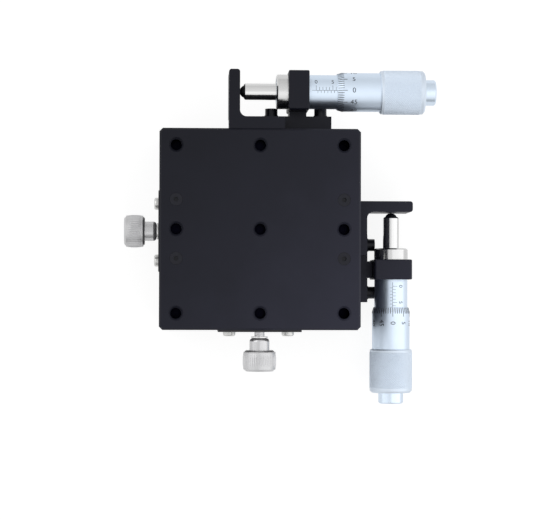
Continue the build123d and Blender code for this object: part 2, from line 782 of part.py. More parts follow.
def export(name, piece, place):
    solids = piece if isinstance(piece, list) else [piece]
    moved = [place * solid for solid in solids]
    whole = moved[0] if len(moved) == 1 else Compound(children=moved)
    whole.label = name
    export_step(whole, f"parts/{name}.step")


LOWER = Rot(0, 0, -90)
UPPER = Pos(0, 0, STAGE_HEIGHT)

for axis, place, open_by in (("x", UPPER, X_LOCK_OPEN), ("y", LOWER, Y_LOCK_OPEN)):
    for piece_name, piece in stage(open_by).items():
        export(f"{axis}_{piece_name}", piece, place)
export("stack_screws", stack_screws(), UPPER)
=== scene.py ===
import json
import math

import bmesh
import bpy
from mathutils import Matrix, Vector


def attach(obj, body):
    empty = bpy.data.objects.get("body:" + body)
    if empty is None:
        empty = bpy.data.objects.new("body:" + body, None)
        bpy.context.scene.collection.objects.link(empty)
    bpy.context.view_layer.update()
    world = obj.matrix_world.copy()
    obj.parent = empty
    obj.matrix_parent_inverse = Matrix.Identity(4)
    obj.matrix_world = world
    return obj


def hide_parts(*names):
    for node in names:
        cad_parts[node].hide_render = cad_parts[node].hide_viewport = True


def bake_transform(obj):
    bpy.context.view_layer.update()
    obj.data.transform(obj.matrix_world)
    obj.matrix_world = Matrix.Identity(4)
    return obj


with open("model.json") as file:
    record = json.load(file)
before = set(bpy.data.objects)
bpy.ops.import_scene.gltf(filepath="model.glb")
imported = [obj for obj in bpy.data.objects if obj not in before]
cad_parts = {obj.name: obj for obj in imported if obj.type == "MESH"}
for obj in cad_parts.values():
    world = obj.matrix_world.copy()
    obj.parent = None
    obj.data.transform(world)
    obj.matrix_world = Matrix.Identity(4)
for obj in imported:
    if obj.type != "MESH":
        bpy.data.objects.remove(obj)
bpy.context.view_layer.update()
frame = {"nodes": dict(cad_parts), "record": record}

MM = 0.001

# ---------------------------------------------------------------- sizes, in millimetres

# Lengths along a micrometer head or a lock screw run outwards from the stage's centre.

# Plates and tapped holes
STAGE_HEIGHT = 18.0
TOP = 2 * STAGE_HEIGHT
HOLE_GRID = 25.0
HOLE_RADIUS = 1.7
HOLE_COUNTERSINK = 0.55
HOLE_MARGIN = 0.06
HOLE_EDGE = 0.05
HOLE_ROWS = 3
THREAD_PITCH = 0.7
THREAD_DEPTH = 0.14
THREAD_LENGTH = 4.2
THREAD_REACH = 4.3
THREAD_FLANK_SHARE = 0.46
THREAD_STEPS = 28

# Micrometer head
HEAD_W = 41.8
HEAD_Z = 9.2
SLEEVE_RADIUS = 5.15
SLEEVE_FRONT = 14.7
THIMBLE_FRONT = 23.3
THIMBLE_FRONT_RADIUS = 5.4
THIMBLE_RADIUS = 5.85
THIMBLE_BEVEL = 1.6
GRIP_FRONT = 36.4
GRIP_END = 49.9
GRIP_RADIUS = 6.55
GRIP_EDGE = 0.8
GRIP_KNURL_FRONT_GAP = 1.1
GRIP_KNURL_END_GAP = 0.4
GRIP_RIDGES = 76
GRIP_RIDGE_SHARE = 0.7
GRIP_RIDGE_HEIGHT = 0.14
GRIP_RIDGE_TOP = 0.12
GRIP_RIDGE_SINK = 0.03
GRIP_FINISH_FRONT = GRIP_FRONT - 0.1

# Marks on the thimble
MARK_DEPTH = 0.02
MARK_WIDTH = 0.15
DIVISIONS = 50
DIVISIONS_PER_NUMERAL = 5
MARK_FRONT_GAP = 0.1
SHORT_MARK_END = 0.35
LONG_MARK_END = 1.3
NUMERAL_U = 28.2
NUMERAL_HEIGHT = 1.5
DIGIT_SHARE = 0.7
NUMERAL_STRIP = 0.15
MERGE_DISTANCE = 0.0005

# Marks on the sleeve
SLEEVE_MARK_WIDTH = 0.09
SLEEVE_LINE_START = SLEEVE_FRONT + 0.9
SLEEVE_LINE_END = THIMBLE_FRONT + 6.0
SLEEVE_ZERO = 16.8
SLEEVE_HALF_MILLIMETRE = 0.5
SLEEVE_MARKS = 26
SLEEVE_MARK_PARTS = 4
SLEEVE_PART_OVERLAP = 1.02
HALF_MARK = 0.8
WHOLE_MARK = 1.0
FIFTH_MARK = 1.5
SLEEVE_NUMERAL_ARC = 2.7
SLEEVE_NUMERAL_HEIGHT = NUMERAL_HEIGHT * 0.85

# Lock screw
KNOB_Z = 12.9
KNOB_RADIUS = 4.85
KNOB_LENGTH = 6.3
KNOB_EDGE = 0.8
KNOB_RIDGES = 44
KNOB_RIDGE_SHARE = 0.92
KNOB_RIDGE_HEIGHT = 0.2
KNOB_RIDGE_TOP = 0.35
KNOB_RIDGE_SINK = 0.05
KNOB_KNURL_OVERRUN = 0.25
SHANK_RADIUS = 1.5
SHANK_PITCH = 0.5
SHANK_RIDGE_SINK = 0.1
SHANK_RIDGE_DEPTH = 0.143
SHANK_THREAD_COVERED = 1.5
LOCK_PLATE_FACE = 30.6
LOCK_OPEN = {"x": 1.4, "y": 0.1}
NECK_END = 4.1

# Return spring
SPRING_Z = 5.4
SPRING_PIN_U = 19.0
SPRING_EYE_RADIUS = 1.05
SPRING_EYE_STEPS = 21
SPRING_EYE_STEP = math.pi / 11
SPRING_BODY_END = 16.15
SPRING_LEAD = 0.7
SPRING_LEAD_SHARE = 0.7
SPRING_COIL_RADIUS = 1.55
SPRING_WIRE_RADIUS = 0.25
SPRING_TURNS = 42

# ---------------------------------------------------------------- shader maths


class Value:
    """A socket that carries a number; Python's operators on it add Math nodes."""

    def __init__(self, tree, socket):
        self.tree = tree
        self.socket = socket

    def maths(self, operation, *others, turned=False):
        node = self.tree.nodes.new("ShaderNodeMath")
        node.operation = operation
        values = [self, *others]
        if turned:
            values.reverse()
        for place, value in enumerate(values):
            if isinstance(value, Value):
                self.tree.links.new(value.socket, node.inputs[place])
            else:
                node.inputs[place].default_value = value
        return Value(self.tree, node.outputs[0])

    def __add__(self, other):
        return self.maths("ADD", other)

    def __radd__(self, other):
        return self.maths("ADD", other)

    def __sub__(self, other):
        return self.maths("SUBTRACT", other)

    def __rsub__(self, other):
        return self.maths("SUBTRACT", other, turned=True)

    def __mul__(self, other):
        return self.maths("MULTIPLY", other)

    def __truediv__(self, other):
        return self.maths("DIVIDE", other)

    def __gt__(self, other):
        return self.maths("GREATER_THAN", other)

    def __lt__(self, other):
        return self.maths("LESS_THAN", other)


class Finish:
    """A node material with one Principled shader, on Object coordinates."""

    def __init__(self, name, roughness=0.4, metallic=0.0, ior=1.5):
        self.material = bpy.data.materials.new(name)
        self.material.use_nodes = True
        self.tree = self.material.node_tree
        self.tree.nodes.clear()
        output = self.tree.nodes.new("ShaderNodeOutputMaterial")
        self.shader = self.tree.nodes.new("ShaderNodeBsdfPrincipled")
        self.tree.links.new(self.shader.outputs[0], output.inputs[0])
        self.shader.inputs["Roughness"].default_value = roughness
        self.shader.inputs["Metallic"].default_value = metallic
        self.shader.inputs["IOR"].default_value = ior
        self.place = self.node("ShaderNodeTexCoord", out="Object")
        self.x, self.y, self.z = self.split(self.place)

    def node(self, kind, settings=None, out=0, **sockets):
        """One node: its settings first, then the values or links of its sockets, by name."""
        node = self.tree.nodes.new(kind)
        for name, value in (settings or {}).items():
            setattr(node, name, value)
        for name, value in sockets.items():
            socket = node.inputs[name.replace("_", " ")]
            if isinstance(value, Value):
                self.tree.links.new(value.socket, socket)
            else:
                socket.default_value = value
        return Value(self.tree, node.outputs[out])

    def split(self, vector):
        node = self.tree.nodes.new("ShaderNodeSeparateXYZ")
        self.tree.links.new(vector.socket, node.inputs[0])
        return [Value(self.tree, output) for output in node.outputs]

    def noise(self, scale, detail):
        """Soft noise from 0 to 1, with `scale` grains in a metre."""
        return self.node("ShaderNodeTexNoise", Vector=self.place, Scale=scale, Detail=detail)

    def lines(self, along, per_metre):
        """Fine parallel lines: noise that changes only along one direction."""
        settings = {"noise_dimensions": "1D"}
        return self.node("ShaderNodeTexNoise", settings, W=along * per_metre, Scale=1.0, Detail=3.0)

    def shades(self, factor, *stops):
        """A colour ramp from (position, colour) stops."""
        node = self.tree.nodes.new("ShaderNodeValToRGB")
        ramp = node.color_ramp
        while len(ramp.elements) < len(stops):
            ramp.elements.new(0.5)
        for element, (position, colour) in zip(ramp.elements, stops):
            element.position = position
            element.color = (*colour, 1.0)
        self.tree.links.new(factor.socket, node.inputs[0])
        return Value(self.tree, node.outputs[0])

    def mix(self, factor, low, high):
        """The low colour where the mask is 0, the high one where it is 1."""
        node = self.tree.nodes.new("ShaderNodeMix")
        node.data_type = "RGBA"
        for name, value in (("Factor_Float", factor), ("A_Color", low), ("B_Color", high)):
            socket = next(s for s in node.inputs if s.identifier == name)
            if isinstance(value, Value):
                self.tree.links.new(value.socket, socket)
            else:
                socket.default_value = (*value, 1.0)
        return Value(self.tree, next(s for s in node.outputs if s.identifier == "Result_Color"))

    def feed(self, name, value):
        self.tree.links.new(value.socket, self.shader.inputs[name])

    def bump(self, height, depth):
        """Feeds the normal from a height; `depth` is the height's full range in metres."""
        self.feed("Normal", self.node("ShaderNodeBump", Height=height, Distance=depth))


# ---------------------------------------------------------------- finishes

CHROME = (0.70, 0.80, 0.92)
GRIP_CHROME = (0.78, 0.87, 0.98)
RAIL_STEEL = (0.62, 0.62, 0.61)
KNOB_STEEL = (0.64, 0.64, 0.65)
NUT_STEEL = (0.66, 0.66, 0.66)
SPINDLE_STEEL = (0.72, 0.72, 0.72)
BALL_STEEL = (0.30, 0.30, 0.31)
ROLLER_STEEL = (0.72, 0.72, 0.73)
PIN_STEEL = (0.58, 0.58, 0.58)
SPRING_STEEL = (0.50, 0.50, 0.50)
PAN_HEAD_STEEL = (0.66, 0.66, 0.65)
BRASS = (0.72, 0.56, 0.28)
# The next three are the ends of the painted light on the anodised parts: the shaded end, then the lit
# ends for plates and for brackets
SHADED_ANODISED_BLACK = (0.0020, 0.0026, 0.0070)
LIT_PLATE_BLACK = (0.0305, 0.0315, 0.0515)
LIT_BRACKET_BLACK = (0.0240, 0.0250, 0.0420)
# Painted shade for the inside of the tapped holes
HOLE_PAINTED_SHADE = (0.0030, 0.0030, 0.0070)
SCREW_BLACK = (0.009, 0.0095, 0.016)
LOCK_PLATE_BLACK = (0.03, 0.03, 0.033)
MARK_BLACK = (0.02, 0.022, 0.03)

# Painted light: the anodised parts' colour grows lighter along this slanted way, in metres, where more
# light falls on them
PAINTED_LIGHT_LENGTH = 0.075
PAINTED_LIGHT_X = 0.65
PAINTED_LIGHT_Y = 0.6
HALF_LIT_SHARE = 0.3

# Grains or lines in a metre
CLOUD_GRAIN = {
    "anodised": 90.0,
    "chrome": 140.0,
    "turned": 160.0,
    "ground": 220.0,
    "plain": 300.0,
    "oxide": 700.0,
}
BLAST_GRAIN = 5200.0
BLAST_COARSE_GRAIN = 1500.0
TURNED_LINES = 6500.0
GROUND_LINES = 9000.0
OXIDE_GRAIN = 4200.0
CHROME_LINES = 7000.0
CHROME_GRAIN = 6000.0
PAINT_GRAIN = 9000.0

# Heights of the fine relief, in metres
BLAST_RELIEF = 0.000012
TURNED_RELIEF = 0.000004
GROUND_RELIEF = 0.000003
OXIDE_RELIEF = 0.000005
CHROME_RELIEF = 0.000006
PAINT_RELIEF = 0.000004

NECK_ROUGHNESS = 0.2
KNOB_ROUGHNESS = 0.36
GRIP_ROUGHNESS = 0.48
SMOOTH_CHROME_ROUGHNESS = 0.4


def scaled(colour, factor):
    return tuple(channel * factor for channel in colour)


def between(low, high, share):
    return tuple(a + (b - a) * share for a, b in zip(low, high))


def inside_holes(f):
    """A mask for painted shade: the top plate's tapped holes and what shows in them, below the
    countersinks.
    """
    across = [value / (HOLE_GRID * MM) for value in (f.x, f.y)]
    offsets = [value - value.maths("ROUND") for value in across]
    reach = (HOLE_RADIUS + HOLE_MARGIN) / HOLE_GRID
    near = offsets[0] * offsets[0] + offsets[1] * offsets[1] < reach * reach
    below = f.z < (TOP - HOLE_COUNTERSINK - HOLE_EDGE) * MM
    above = f.z > STAGE_HEIGHT * MM
    return near * below * above


def anodised(name, lit_end_colour, roughness):
    """Black anodised aluminium: bead-blasted grain, and painted light that lightens its dyed colour
    towards one corner.
    """
    f = Finish(name, ior=1.28)
    cloud = f.noise(CLOUD_GRAIN["anodised"], 3.0)
    fine = f.noise(BLAST_GRAIN, 2.0)
    coarse = f.noise(BLAST_COARSE_GRAIN, 3.0)
    # Painted light: a slanted gradient across the part, mixed with real tone from the cloud and the
    # fine grain
    painted_light_ramp = (f.x * PAINTED_LIGHT_X - f.y * PAINTED_LIGHT_Y) * (1.0 / PAINTED_LIGHT_LENGTH) + 0.5
    depth = painted_light_ramp * 0.7 + cloud * 0.18 + fine * 0.12
    half = between(SHADED_ANODISED_BLACK, lit_end_colour, HALF_LIT_SHARE)
    dyed_and_painted_light = f.shades(depth, (0.1, SHADED_ANODISED_BLACK), (0.5, half), (0.9, lit_end_colour))
    # Painted shade: inside the tapped holes the colour turns near-black and metallic, so they hardly
    # reflect
    holes = inside_holes(f)
    f.feed("Base Color", f.mix(holes, dyed_and_painted_light, HOLE_PAINTED_SHADE))
    f.feed("Metallic", holes)
    f.feed("Roughness", roughness + (cloud - 0.5) * 0.1 + (fine - 0.5) * 0.12)
    f.bump(fine * 0.7 + coarse * 0.3, BLAST_RELIEF)
    return f.material


def turned_metal(name, axis, colour, roughness):
    """Metal turned on a lathe: fine rings round the axis, with a slow change of brightness."""
    f = Finish(name, metallic=1.0)
    along = {"x": f.x, "y": f.y}[axis]
    rings = f.lines(along, TURNED_LINES)
    cloud = f.noise(CLOUD_GRAIN["turned"], 3.0)
    shade = f.shades(rings * 0.5 + cloud * 0.5, (0.3, scaled(colour, 0.94)), (0.7, colour))
    f.feed("Base Color", shade)
    f.feed("Roughness", roughness + (rings - 0.5) * 0.12 + (cloud - 0.5) * 0.06)
    f.bump(rings, TURNED_RELIEF)
    return f.material


def ground_metal(name, axis, colour, roughness):
    """Ground steel: straight scratches of uneven depth along the part."""
    f = Finish(name, metallic=1.0)
    across = {"x": f.y + f.z * 1.7, "y": f.x + f.z * 1.7}[axis]
    scratches = f.lines(across, GROUND_LINES)
    cloud = f.noise(CLOUD_GRAIN["ground"], 3.0)
    shade = f.shades(scratches * 0.6 + cloud * 0.4, (0.25, scaled(colour, 0.85)), (0.75, colour))
    f.feed("Base Color", shade)
    f.feed("Roughness", roughness + (scratches - 0.5) * 0.18)
    f.bump(scratches, GROUND_RELIEF)
    return f.material


def knob_metal(name, axis, neck_end):
    """Turned steel: a polished shank and neck, and a matt round knob beyond them."""
    f = Finish(name, metallic=0.72)
    along = {"x": f.x, "y": f.y}[axis] * -1.0
    matt = along > neck_end * MM
    rings = f.lines(along, TURNED_LINES)
    cloud = f.noise(CLOUD_GRAIN["turned"], 3.0)
    dull = scaled(KNOB_STEEL, 0.94)
    f.feed("Base Color", f.shades(rings * 0.5 + cloud * 0.5, (0.3, dull), (0.7, KNOB_STEEL)))
    base = matt * (KNOB_ROUGHNESS - NECK_ROUGHNESS) + NECK_ROUGHNESS
    f.feed("Roughness", base + (rings - 0.5) * 0.12 + (cloud - 0.5) * 0.06)
    f.bump(rings, TURNED_RELIEF)
    return f.material


def plain_metal(name, colour, roughness, grain=3000.0, depth=0.000003):
    """Polished or drawn metal with a faint irregular surface."""
    f = Finish(name, metallic=1.0)
    fine = f.noise(grain, 3.0)
    cloud = f.noise(CLOUD_GRAIN["plain"], 2.0)
    shade = f.shades(fine * 0.4 + cloud * 0.6, (0.3, scaled(colour, 0.9)), (0.7, colour))
    f.feed("Base Color", shade)
    f.feed("Roughness", roughness + (fine - 0.5) * 0.1)
    f.bump(fine, depth)
    return f.material


def black_oxide(name, colour, roughness):
    """Blackened steel: thin dark oxide with a slightly oily, mottled sheen."""
    f = Finish(name, ior=1.35)
    fine = f.noise(OXIDE_GRAIN, 3.0)
    cloud = f.noise(CLOUD_GRAIN["oxide"], 2.0)
    dark, light = scaled(colour, 0.7), scaled(colour, 1.3)
    oxide = f.shades(cloud * 0.5 + fine * 0.5, (0.3, dark), (0.7, light))
    # Painted shade: where these screws show inside the tapped holes, the colour turns near-black and
    # metallic, so they hardly reflect
    holes = inside_holes(f)
    f.feed("Base Color", f.mix(holes, oxide, HOLE_PAINTED_SHADE))
    f.feed("Metallic", 0.2 + holes * 0.8)
    f.feed("Roughness", roughness + (cloud - 0.5) * 0.16)
    f.bump(fine, OXIDE_RELIEF)
    return f.material


def chrome_thimble(name, axis, sign):
    """Satin chrome: smooth in front with fine rings, matt and brighter on the grip."""
    f = Finish(name, metallic=1.0)
    along = {"x": f.x, "y": f.y}[axis] * float(sign)
    rings = f.lines(along, CHROME_LINES)
    cloud = f.noise(CLOUD_GRAIN["chrome"], 3.0)
    fine = f.noise(CHROME_GRAIN, 2.0)
    grip = along > GRIP_FINISH_FRONT * MM
    smooth = f.shades(rings * 0.4 + cloud * 0.6, (0.3, scaled(CHROME, 0.93)), (0.7, CHROME))
    dull = scaled(GRIP_CHROME, 0.92)
    matt = f.shades(fine * 0.4 + cloud * 0.6, (0.3, dull), (0.7, GRIP_CHROME))
    f.feed("Base Color", f.mix(grip, smooth, matt))
    base = grip * (GRIP_ROUGHNESS - SMOOTH_CHROME_ROUGHNESS) + SMOOTH_CHROME_ROUGHNESS
    f.feed("Roughness", base + (rings - 0.5) * 0.1)
    f.feed("Metallic", 1.0 - grip * 0.4)
    f.bump(rings * (1.0 - grip) * 0.4 + fine * 0.6, CHROME_RELIEF)
    return f.material


def mark_paint(name, colour):
    """Matt filled paint in the engraved lines."""
    f = Finish(name, roughness=0.6, ior=1.3)
    fine = f.noise(PAINT_GRAIN, 2.0)
    f.feed("Base Color", f.shades(fine, (0.3, scaled(colour, 0.8)), (0.7, scaled(colour, 1.2))))
    f.bump(fine, PAINT_RELIEF)
    return f.material


finishes = {
    "black_anodised_plate": anodised("black_anodised_plate", LIT_PLATE_BLACK, 0.42),
    "black_anodised_bracket": anodised("black_anodised_bracket", LIT_BRACKET_BLACK, 0.4),
    "cage_brass": plain_metal("cage_brass", BRASS, 0.3),
    "black_screw_steel": black_oxide("black_screw_steel", SCREW_BLACK, 0.32),
    "pin_steel": plain_metal("pin_steel", PIN_STEEL, 0.25),
    "spring_steel": plain_metal("spring_steel", SPRING_STEEL, 0.3),
    "ball_steel": plain_metal("ball_steel", BALL_STEEL, 0.12, 800.0, 0.000001),
    "roller_steel": plain_metal("roller_steel", ROLLER_STEEL, 0.14),
    "blackened_lock_plate": black_oxide("blackened_lock_plate", LOCK_PLATE_BLACK, 0.38),
    "bright_screw_steel": plain_metal("bright_screw_steel", PAN_HEAD_STEEL, 0.28),
}
turned_finishes = {
    "satin_chrome_sleeve": lambda name, axis, knob: turned_metal(name, axis, CHROME, 0.38),
    "satin_chrome_cap": lambda name, axis, knob: turned_metal(name, axis, CHROME, 0.24),
    "turned_steel": lambda name, axis, knob: turned_metal(name, axis, NUT_STEEL, 0.2),
    "spindle_steel": lambda name, axis, knob: turned_metal(name, axis, SPINDLE_STEEL, 0.16),
    "ground_rail_steel": lambda name, axis, knob: ground_metal(name, axis, RAIL_STEEL, 0.26),
    "knurled_knob_steel": lambda name, axis, knob: knob_metal(
        name, knob, LOCK_PLATE_FACE + LOCK_OPEN[axis] + NECK_END
    ),
    "satin_chrome_thimble": lambda name, axis, knob: chrome_thimble(
        name, axis, 1 if axis == "x" else -1
    ),
}
for slot, make in turned_finishes.items():
    for axis, knob in (("x", "y"), ("y", "x")):
        finishes[f"{slot}_{axis}"] = make(f"{slot}_{axis}", axis, knob)

for row in frame["record"]["subparts"]:
    node, slot = row["node"], row["material_slot"]
    key = slot if slot in finishes else f"{slot}_{node[0]}"
    materials = frame["nodes"][node].data.materials
    materials.clear()
    materials.append(finishes[key])

black_mark = mark_paint("scale_paint", MARK_BLACK)

# ---------------------------------------------------------------- repeated forms


class Builder:
    """Adds geometry nodes to a tree: settings first, then the values or links of the sockets."""

    def __init__(self, tree):
        self.tree = tree

    def add(self, kind, settings=None, **sockets):
        node = self.tree.nodes.new(kind)
        for name, value in (settings or {}).items():
            setattr(node, name, value)
        for name, value in sockets.items():
            self.put(node.inputs[name.replace("_", " ")], value)
        return node

    def put(self, socket, value):
        if hasattr(value, "is_output"):
            self.tree.links.new(value, socket)
        else:
            socket.default_value = value

    def maths(self, operation, *values):
        node = self.add("ShaderNodeMath", {"operation": operation})
        for place, value in enumerate(values):
            self.put(node.inputs[place], value)
        return node.outputs[0]


def geometry_tree(tree_name, sockets):
    """A geometry tree with its inputs: the tree, their identifiers and the two end nodes."""
    tree = bpy.data.node_groups.new(tree_name, "GeometryNodeTree")
    inputs = {}
    for name, kind in sockets:
        socket = tree.interface.new_socket(name, in_out="INPUT", socket_type=kind)
        inputs[name] = socket.identifier
    tree.interface.new_socket("Geometry", in_out="OUTPUT", socket_type="NodeSocketGeometry")
    return tree, inputs, tree.nodes.new("NodeGroupInput"), tree.nodes.new("NodeGroupOutput")


def stud_tree():
    """Geometry nodes: rows of small tapered studs on a flat sheet, x along and y across."""
    sockets = (
        ("Rows", "NodeSocketInt"),
        ("Columns", "NodeSocketInt"),
        ("Row Pitch", "NodeSocketFloat"),
        ("Column Pitch", "NodeSocketFloat"),
        ("Length", "NodeSocketFloat"),
        ("Width", "NodeSocketFloat"),
        ("Height", "NodeSocketFloat"),
        ("Top", "NodeSocketFloat"),
        ("Twist", "NodeSocketFloat"),
        ("Stagger", "NodeSocketFloat"),
        ("Finish", "NodeSocketMaterial"),
    )
    tree, inputs, given, result = geometry_tree("studs", sockets)
    build = Builder(tree)
    add, maths = build.add, build.maths
    g = given.outputs
    count = maths("MULTIPLY", g["Rows"], g["Columns"])
    points = add("GeometryNodePoints", Count=count)
    index = add("GeometryNodeInputIndex").outputs[0]
    row = maths("FLOOR", maths("DIVIDE", maths("ADD", index, 0.5), g["Columns"]))
    column = maths("SUBTRACT", index, maths("MULTIPLY", row, g["Columns"]))
    shift = maths("MULTIPLY", maths("FLOORED_MODULO", row, 2.0), g["Stagger"])
    spot = add(
        "ShaderNodeCombineXYZ",
        X=maths("MULTIPLY", row, g["Row Pitch"]),
        Y=maths("MULTIPLY", maths("ADD", column, shift), g["Column Pitch"]),
    )
    placed = add("GeometryNodeSetPosition", Geometry=points.outputs[0], Position=spot.outputs[0])
    corner = math.sqrt(0.5)
    cone = add(
        "GeometryNodeMeshCone", {"fill_type": "NGON"}, Vertices=4, Depth=1.0, Radius_Bottom=corner,
        Radius_Top=maths("MULTIPLY", g["Top"], corner),
    )
    eighth = (0.0, 0.0, math.pi / 4)
    squared = add("GeometryNodeTransform", Geometry=cone.outputs["Mesh"], Rotation=eighth)
    size = add("ShaderNodeCombineXYZ", X=g["Length"], Y=g["Width"], Z=g["Height"])
    sized = add("GeometryNodeTransform", Geometry=squared.outputs[0], Scale=size.outputs[0])
    turn = add("ShaderNodeCombineXYZ", Z=g["Twist"])
    twisted = add("GeometryNodeTransform", Geometry=sized.outputs[0], Rotation=turn.outputs[0])
    each = add("GeometryNodeInstanceOnPoints", Points=placed.outputs[0], Instance=twisted.outputs[0])
    real = add("GeometryNodeRealizeInstances", Geometry=each.outputs[0])
    finished = add("GeometryNodeSetMaterial", Geometry=real.outputs[0], Material=g["Finish"])
    tree.links.new(finished.outputs[0], result.inputs[0])
    return tree, inputs


STUDS, STUD_INPUTS = stud_tree()


def linked(name, data):
    """A new object in the scene."""
    made = bpy.data.objects.new(name, data)
    bpy.context.scene.collection.objects.link(made)
    return made


def plain_mesh(carrier):
    """The plain mesh that an object evaluates to; the object is removed."""
    bpy.context.view_layer.update()
    graph = bpy.context.evaluated_depsgraph_get()
    mesh = bpy.data.meshes.new_from_object(carrier.evaluated_get(graph))
    bpy.data.objects.remove(carrier)
    return mesh


def with_finish(mesh, finish):
    """The same mesh with one material."""
    mesh.materials.clear()
    mesh.materials.append(finish)
    return mesh


def run_tree(tree, inputs, values):
    """The plain mesh that a geometry tree gives for these values."""
    carrier = linked("carrier", bpy.data.meshes.new("seed"))
    modifier = carrier.modifiers.new("tree", "NODES")
    modifier.node_group = tree
    for name, value in values.items():
        modifier[inputs[name]] = value
    return plain_mesh(carrier)


def studs(start, across, finish, rows=1, columns=1, row_pitch=0.0, column_pitch=0.0, **size):
    """A flat pattern of studs from a start along and an arc length across, in millimetres."""
    mesh = run_tree(
        STUDS,
        STUD_INPUTS,
        {
            "Rows": rows,
            "Columns": columns,
            "Row Pitch": float(row_pitch),
            "Column Pitch": float(column_pitch),
            "Length": float(size["length"]),
            "Width": float(size["width"]),
            "Height": float(size["height"]),
            "Top": float(size.get("top", 1.0)),
            "Twist": float(size.get("twist", 0.0)),
            "Stagger": float(size.get("stagger", 0.0)),
            "Finish": finish,
        },
    )
    mesh.transform(Matrix.Translation((start, across, -size.get("sink", 0.0))))
    return mesh


def numeral(text, along, across, height, finish):
    """A flat numeral, centred on a point of the sheet, cut into narrow strips to be wrapped."""
    curve = bpy.data.curves.new("numeral", "FONT")
    curve.body = text
    curve.size = height / DIGIT_SHARE
    curve.align_x = "CENTER"
    curve.align_y = "CENTER"
    curve.extrude = MARK_DEPTH / 2
    mesh = with_finish(plain_mesh(linked("numeral", curve)), finish)
    mesh.transform(Matrix.Translation((along, across, 0.0)))
    form = bmesh.new()
    form.from_mesh(mesh)
    bmesh.ops.remove_doubles(form, verts=form.verts, dist=MERGE_DISTANCE)
    low = min(v.co.y for v in form.verts)
    high = max(v.co.y for v in form.verts)
    level = low + NUMERAL_STRIP
    while level < high:
        geometry = form.verts[:] + form.edges[:] + form.faces[:]
        bmesh.ops.bisect_plane(form, geom=geometry, plane_co=(0, level, 0), plane_no=(0, 1, 0))
        level += NUMERAL_STRIP
    form.to_mesh(mesh)
    form.free()
    return mesh


def wrapped(mesh, radius):
    """Bends a flat sheet round the x axis: y becomes an arc from the top, z a height above it."""
    for vertex in mesh.vertices:
        along, arc, height = vertex.co
        turn = arc / radius
        reach = radius + height
        vertex.co = (along, reach * math.sin(turn), reach * math.cos(turn))
    return mesh


def joined(name, meshes, place):
    """One piece from several meshes, put in its place in metres."""
    form = bmesh.new()
    materials = []
    for mesh in meshes:
        material = mesh.materials[-1]
        if material not in materials:
            materials.append(material)
        for polygon in mesh.polygons:
            polygon.material_index = materials.index(material)
        form.from_mesh(mesh)
        bpy.data.meshes.remove(mesh)
    result = bpy.data.meshes.new(name)
    form.to_mesh(result)
    form.free()
    for material in materials:
        result.materials.append(material)
    result.transform(place)
    return linked(name, result)


def thread_tree():
    """Geometry nodes: a helical ridge or wire that rises at each point of a square grid."""
    sockets = (
        ("Turns", "NodeSocketFloat"),
        ("Radius", "NodeSocketFloat"),
        ("Height", "NodeSocketFloat"),
        ("Depth", "NodeSocketFloat"),
        ("Flank", "NodeSocketFloat"),
        ("Sides", "NodeSocketInt"),
        ("Across", "NodeSocketInt"),
        ("Spacing", "NodeSocketFloat"),
        ("Finish", "NodeSocketMaterial"),
    )
    tree, inputs, given, result = geometry_tree("thread", sockets)
    build = Builder(tree)
    g = given.outputs
    add, maths = build.add, build.maths
    helix = add(
        "GeometryNodeCurveSpiral", Resolution=THREAD_STEPS, Rotations=g["Turns"],
        Start_Radius=g["Radius"], End_Radius=g["Radius"], Height=g["Height"],
    )
    upright = add("GeometryNodeSetCurveNormal", {"mode": "Z_UP"}, Curve=helix.outputs[0])
    outline = add(
        "GeometryNodeCurvePrimitiveCircle", {"mode": "RADIUS"}, Radius=1.0, Resolution=g["Sides"]
    )
    flank = add("ShaderNodeCombineXYZ", X=g["Depth"], Y=g["Flank"], Z=1.0)
    section = add("GeometryNodeTransform", Geometry=outline.outputs[0], Scale=flank.outputs[0])
    ridge = add(
        "GeometryNodeCurveToMesh", Curve=upright.outputs[0], Profile_Curve=section.outputs[0],
        Fill_Caps=True,
    )
    size = maths("MULTIPLY", g["Spacing"], maths("SUBTRACT", g["Across"], 1.0))
    grid = add(
        "GeometryNodeMeshGrid", Size_X=size, Size_Y=size, Vertices_X=g["Across"], Vertices_Y=g["Across"]
    )
    points = add("GeometryNodeMeshToPoints", Mesh=grid.outputs[0])
    each = add("GeometryNodeInstanceOnPoints", Points=points.outputs[0], Instance=ridge.outputs[0])
    real = add("GeometryNodeRealizeInstances", Geometry=each.outputs[0])
    finished = add("GeometryNodeSetMaterial", Geometry=real.outputs[0], Material=g["Finish"])
    tree.links.new(finished.outputs[0], result.inputs[0])
    return tree, inputs


THREAD, THREAD_INPUTS = thread_tree()


def thread(finish, radius, pitch, length, depth, flank=None, sides=4, across=1, spacing=0.0):
    """A thread or coil that rises from z = 0, centred on the z axis or on a square grid."""
    return run_tree(
        THREAD,
        THREAD_INPUTS,
        {
            "Turns": length / pitch,
            "Radius": radius,
            "Height": length,
            "Depth": depth,
            "Flank": flank or pitch * THREAD_FLANK_SHARE,
            "Sides": sides,
            "Across": across,
            "Spacing": spacing,
            "Finish": finish,
        },
    )


# ---------------------------------------------------------------- places

MILLIMETRES = Matrix.Diagonal((MM, MM, MM, 1.0))
STAGES = {
    "x": MILLIMETRES @ Matrix.Translation((0.0, 0.0, STAGE_HEIGHT)),
    "y": MILLIMETRES @ Matrix.Rotation(-math.pi / 2, 4, "Z"),
}
HEAD_AXIS = Matrix.Translation((0.0, HEAD_W, HEAD_Z))
KNOB_AXIS = Matrix.Translation((0.0, 0.0, KNOB_Z)) @ Matrix.Rotation(-math.pi / 2, 4, "Z")
SLEEVE_BODY = {"x": "carriage", "y": "base"}

# ---------------------------------------------------------------- micrometer scales


def thimble_radius(along):
    """The thimble's radius, which grows over the bevel at its front."""
    share = min(max((along - THIMBLE_FRONT) / THIMBLE_BEVEL, 0.0), 1.0)
    return THIMBLE_FRONT_RADIUS + (THIMBLE_RADIUS - THIMBLE_FRONT_RADIUS) * share


